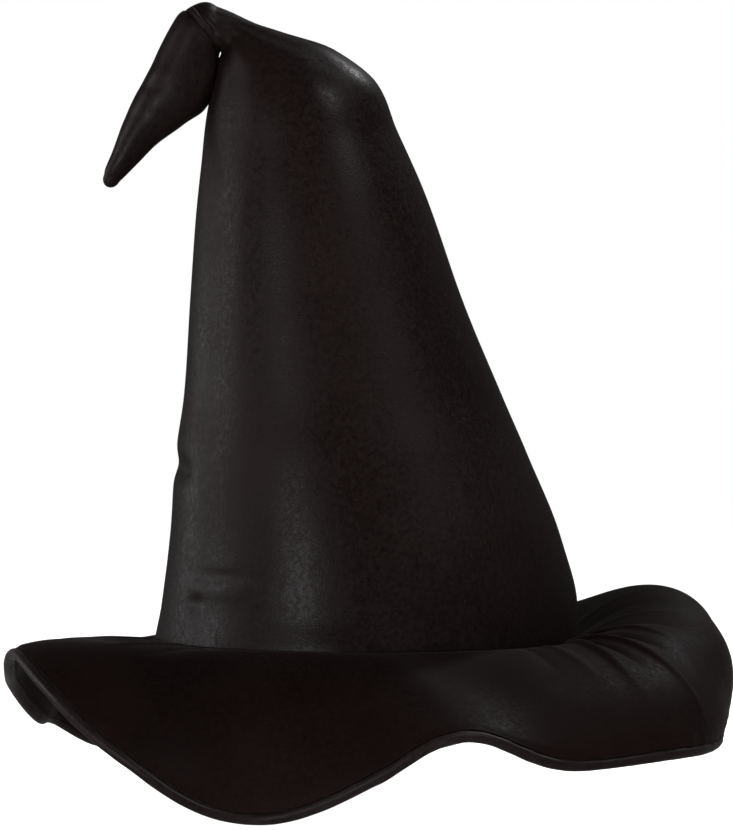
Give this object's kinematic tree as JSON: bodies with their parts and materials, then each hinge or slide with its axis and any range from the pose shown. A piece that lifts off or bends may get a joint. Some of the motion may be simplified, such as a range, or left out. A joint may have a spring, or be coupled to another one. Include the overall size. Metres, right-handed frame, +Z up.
{
  "type": "witch hat",
  "caption": "Pointed witch hat with a waved wired brim, a leaning cone, and a stuffed end folded over on a hinge.",
  "frame": {"origin": "centre of the head opening, on the seam between cone and brim", "axes": "+Z up along the head's axis, -Y towards the front, and the cone leans towards -X"},
  "size_m": [0.3469, 0.395, 0.3789],
  "materials": {
    "crown_velvet": "matte",
    "brim_velvet": "matte",
    "lining_satin": "satin",
    "foam": "matte",
    "fibre_fill": "matte",
    "stiffener": "matte",
    "wire_steel": "satin",
    "tape_cotton": "matte",
    "label_satin": "satin"
  },
  "bodies": {
    "hat": {"crown_shell": "crown_velvet", "crown_interfacing": "foam", "crown_lining": "lining_satin", "crown_stuffing": "fibre_fill", "brim_top": "brim_velvet", "brim_interfacing": "stiffener", "brim_underside": "brim_velvet", "brim_edge_binding": "brim_velvet", "brim_wire": "wire_steel", "brim_wire_joiner": "wire_steel", "opening_tape": "tape_cotton", "sweatband": "tape_cotton", "blank_label": "label_satin"},
    "tip": {"tip_shell": "crown_velvet", "tip_stuffing": "fibre_fill"}
  },
  "joints": [
    {"name": "tip_fold", "type": "hinge", "parent": "hat", "child": "tip", "pos_m": [-0.0785, 0, 0.293], "axis": [0, 1, 0], "range_deg": [0, 75]}
  ]
}
